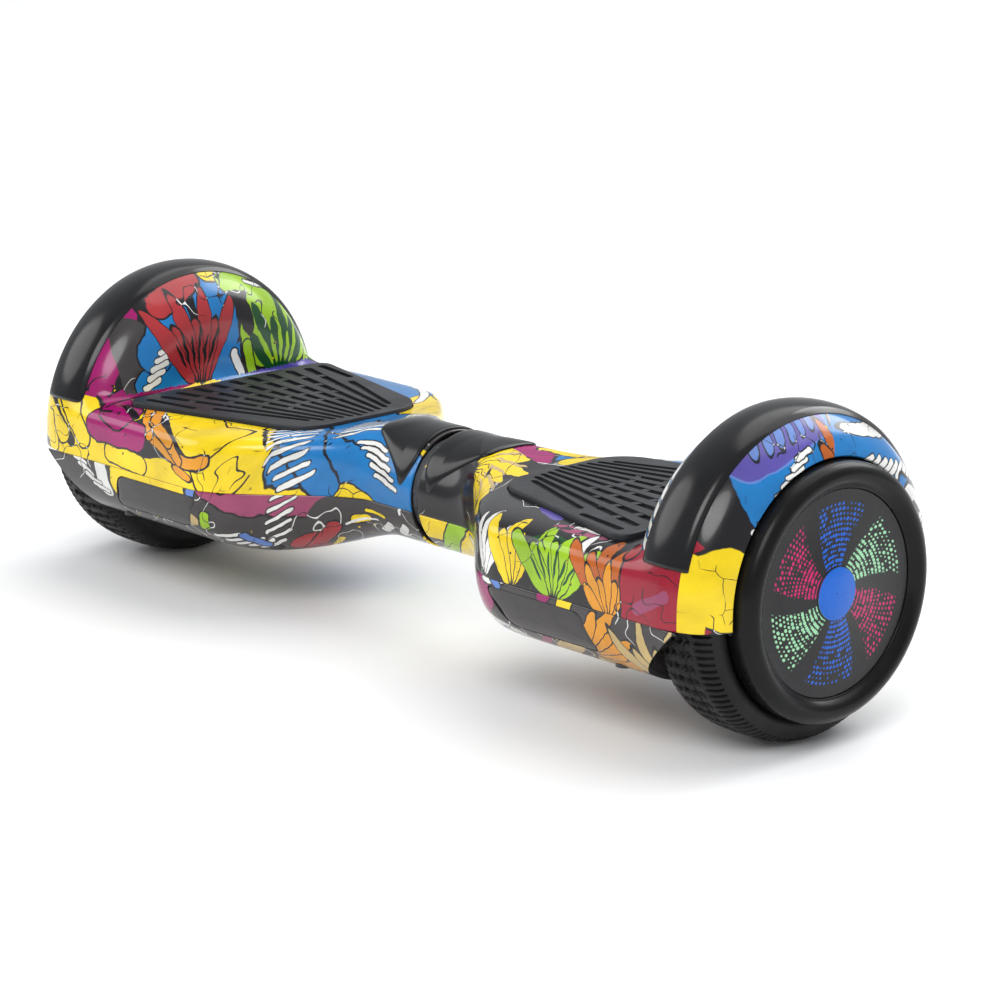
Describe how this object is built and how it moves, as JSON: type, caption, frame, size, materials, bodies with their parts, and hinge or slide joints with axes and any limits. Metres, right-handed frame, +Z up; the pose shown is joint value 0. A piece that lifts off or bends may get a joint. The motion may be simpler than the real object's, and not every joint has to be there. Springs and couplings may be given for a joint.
{
  "type": "self balancing hoverboard",
  "caption": "Two-wheeled self balancing board with twisting halves on a centre pivot, fendered hub-motor wheels, ribbed foot mats, headlights, charging port and power button.",
  "frame": {"origin": "on the floor under the middle of the board, where the tyres touch", "axes": "+X along the wheel axles towards the half with the charging port, -Y towards the headlights, +Z up"},
  "size_m": [0.584, 0.1871, 0.178],
  "materials": {
    "printed_shell": "ABS shell with a colourful street-art style film under clear gloss",
    "black_trim": "black ABS, satin to gloss",
    "mat_rubber": "moulded ribbed rubber, matt",
    "white_plastic": "natural nylon",
    "smoked_lens": "dark smoked polycarbonate, polished",
    "circuit_board": "glass-epoxy board with solder resist",
    "cast_alloy": "die-cast aluminium, as cast",
    "dark_steel": "black oxide steel",
    "bright_steel": "turned and polished steel",
    "bronze": "sintered bronze bush",
    "tyre_rubber": "solid rubber tyre with wavy tread, matt",
    "magnet": "nickel-plated magnets",
    "stator": "laminated steel with enamelled copper windings",
    "light_panel": "dark panel with fan-shaped fields of coloured light dots",
    "cable_jacket": "black cable sleeve",
    "button_metal": "brushed metal button",
    "port_insert": "black insulator with plated contacts",
    "battery_wrap": "blue shrink wrap"
  },
  "bodies": {
    "right_half": {"upper_shell_right": "printed_shell", "lower_shell_right": "printed_shell", "fender_bumper_right": "black_trim", "centre_cover_right": "black_trim", "headlight_lens_right": "smoked_lens", "headlight_board_right": "circuit_board", "frame_right": "cast_alloy", "axle_clamp_right": "cast_alloy", "clamp_screws_right": "dark_steel", "gyro_board_right": "circuit_board", "shell_screws_right": "dark_steel", "motor_stator_right": "stator", "motor_axle_right": "bright_steel", "pivot_tube": "bright_steel", "twist_stop_pin": "dark_steel", "pivot_harness": "cable_jacket", "tube_circlip": "dark_steel", "button_bezel": "bright_steel", "charge_port": "bright_steel", "charge_pins": "port_insert", "port_nut": "bright_steel", "control_board": "circuit_board"},
    "left_half": {"upper_shell_left": "printed_shell", "lower_shell_left": "printed_shell", "fender_bumper_left": "black_trim", "centre_cover_left": "black_trim", "headlight_lens_left": "smoked_lens", "headlight_board_left": "circuit_board", "frame_left": "cast_alloy", "axle_clamp_left": "cast_alloy", "clamp_screws_left": "dark_steel", "gyro_board_left": "circuit_board", "shell_screws_left": "dark_steel", "motor_stator_left": "stator", "motor_axle_left": "bright_steel", "pivot_bushes": "bronze", "battery_pack": "battery_wrap", "battery_bracket": "bright_steel"},
    "power_button": {"power_button": "button_metal"},
    "wheel_right": {"tyre_right": "tyre_rubber", "motor_rim_right": "cast_alloy", "motor_magnets_right": "magnet", "hub_bearings_right": "bright_steel", "motor_cover_right": "cast_alloy", "hub_cap_right": "black_trim", "led_panel_right": "light_panel"},
    "foot_pad_right": {"foot_mat_right": "mat_rubber", "mat_plungers_right": "white_plastic"},
    "wheel_left": {"tyre_left": "tyre_rubber", "motor_rim_left": "cast_alloy", "motor_magnets_left": "magnet", "hub_bearings_left": "bright_steel", "motor_cover_left": "cast_alloy", "hub_cap_left": "black_trim", "led_panel_left": "light_panel"},
    "foot_pad_left": {"foot_mat_left": "mat_rubber", "mat_plungers_left": "white_plastic"}
  },
  "joints": [
    {"name": "centre_pivot", "type": "hinge", "parent": "right_half", "child": "left_half", "pos_m": [0, 0, 0.083], "axis": [1, 0, 0], "range_deg": [-12, 12]},
    {"name": "wheel_spin_right", "type": "hinge", "parent": "right_half", "child": "wheel_right", "pos_m": [0.254, 0, 0.083], "axis": [1, 0, 0], "continuous": true},
    {"name": "wheel_spin_left", "type": "hinge", "parent": "left_half", "child": "wheel_left", "pos_m": [-0.254, 0, 0.083], "axis": [1, 0, 0], "continuous": true},
    {"name": "pad_press_right", "type": "slide", "parent": "right_half", "child": "foot_pad_right", "axis": [0, 0, -1], "range_m": [0, 0.002], "stiffness_N_per_m": 8000, "springref_m": -0.0005},
    {"name": "pad_press_left", "type": "slide", "parent": "left_half", "child": "foot_pad_left", "axis": [0, 0, -1], "range_m": [0, 0.002], "stiffness_N_per_m": 8000, "springref_m": -0.0005},
    {"name": "power_press", "type": "slide", "parent": "right_half", "child": "power_button", "axis": [0, -0.9135, 0.4067], "range_m": [0, 0.0015], "stiffness_N_per_m": 600, "springref_m": -0.0005}
  ]
}
